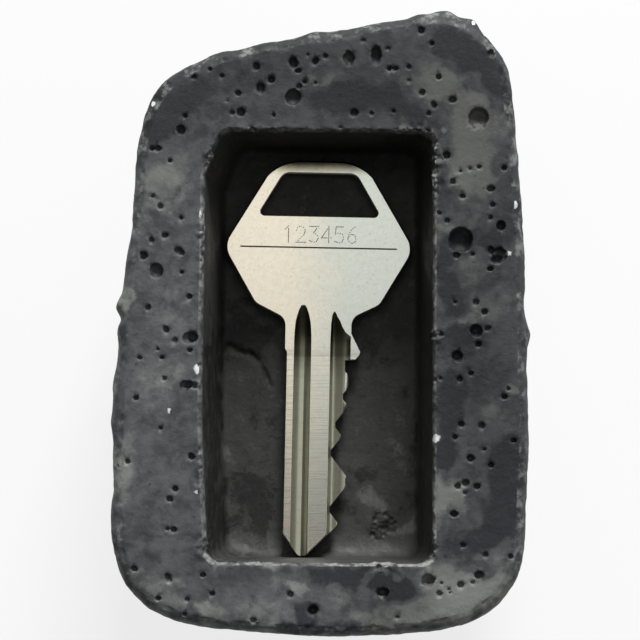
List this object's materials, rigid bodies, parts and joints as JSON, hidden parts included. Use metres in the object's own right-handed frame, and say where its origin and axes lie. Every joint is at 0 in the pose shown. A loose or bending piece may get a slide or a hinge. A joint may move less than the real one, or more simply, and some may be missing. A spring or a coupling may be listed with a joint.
{
  "type": "hide-a-key rock",
  "caption": "Artificial rock lying on its back: a flat base face with a drafted oblong pocket, holding a loose cut key with a six-sided bow.",
  "frame": {"origin": "middle of the rock's outline, on the surface that it lies on with its pocket up", "axes": "+Z out of the flat base face and its pocket, +Y along the pocket towards the key's bow, +X to the right"},
  "size_m": [0.0584, 0.0876, 0.036],
  "materials": {
    "cast_stone": "matte",
    "nickel": "satin"
  },
  "bodies": {
    "rock": {"rock_body": "cast_stone"},
    "key": {"key": "nickel"}
  },
  "joints": [
    {"name": "key_lift", "type": "slide", "parent": "rock", "child": "key", "axis": [0, 0, 1], "range_m": [0, 0.04]}
  ]
}
